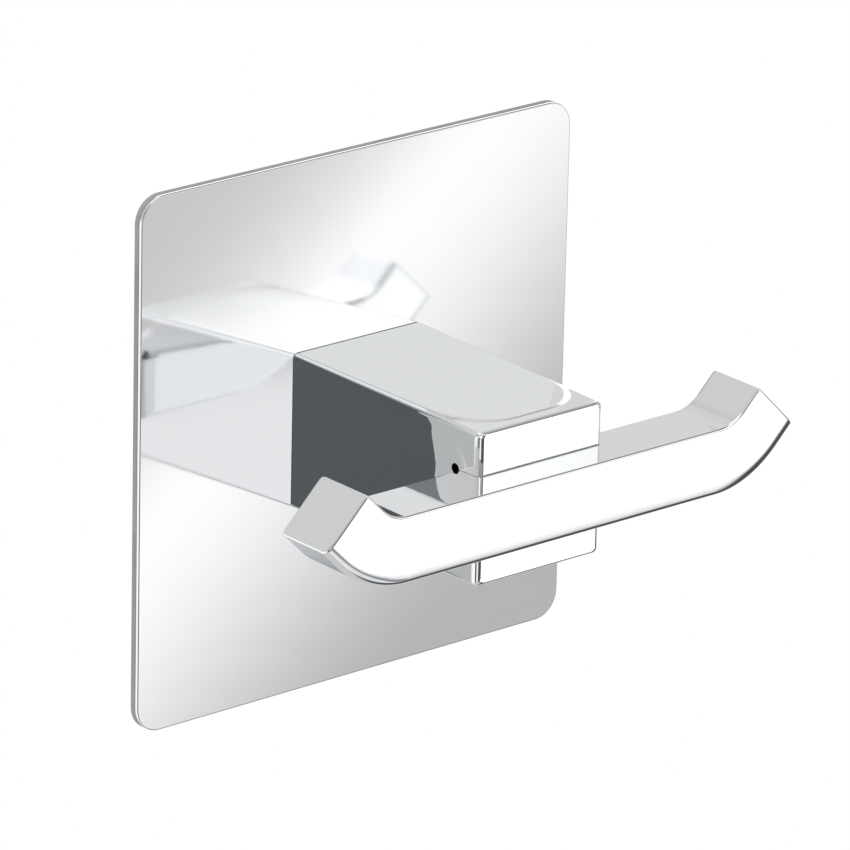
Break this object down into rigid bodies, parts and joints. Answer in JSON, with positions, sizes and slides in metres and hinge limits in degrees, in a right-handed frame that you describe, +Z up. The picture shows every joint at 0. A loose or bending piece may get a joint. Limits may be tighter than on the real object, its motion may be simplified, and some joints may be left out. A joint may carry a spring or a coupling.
{
  "type": "towel hook",
  "caption": "Chrome double towel hook: a square adhesive wall plate carries a square post with a cross bar whose ends turn up.",
  "frame": {"origin": "centre of the adhesive pad's wall face", "axes": "+Z up the wall, +X along the wall to the right as seen from the room, +Y into the wall, so the hook stands out along -Y"},
  "size_m": [0.107, 0.0592, 0.1],
  "materials": {
    "foam_pad": "matt closed-cell foam with adhesive faces",
    "plate_steel": "mirror-polished steel sheet",
    "chrome_casting": "bright chrome plate over a polished casting",
    "zinc_screw": "bright zinc plate",
    "spring_steel": "dark phosphated spring steel"
  },
  "bodies": {
    "root": {"adhesive_pad": "foam_pad", "back_plate": "plate_steel", "post": "chrome_casting", "hook_bar": "chrome_casting", "plate_screw_left": "zinc_screw", "plate_screw_right": "zinc_screw", "bar_screw": "zinc_screw", "flat_washer": "zinc_screw", "spring_washer": "spring_steel"}
  },
  "joints": []
}
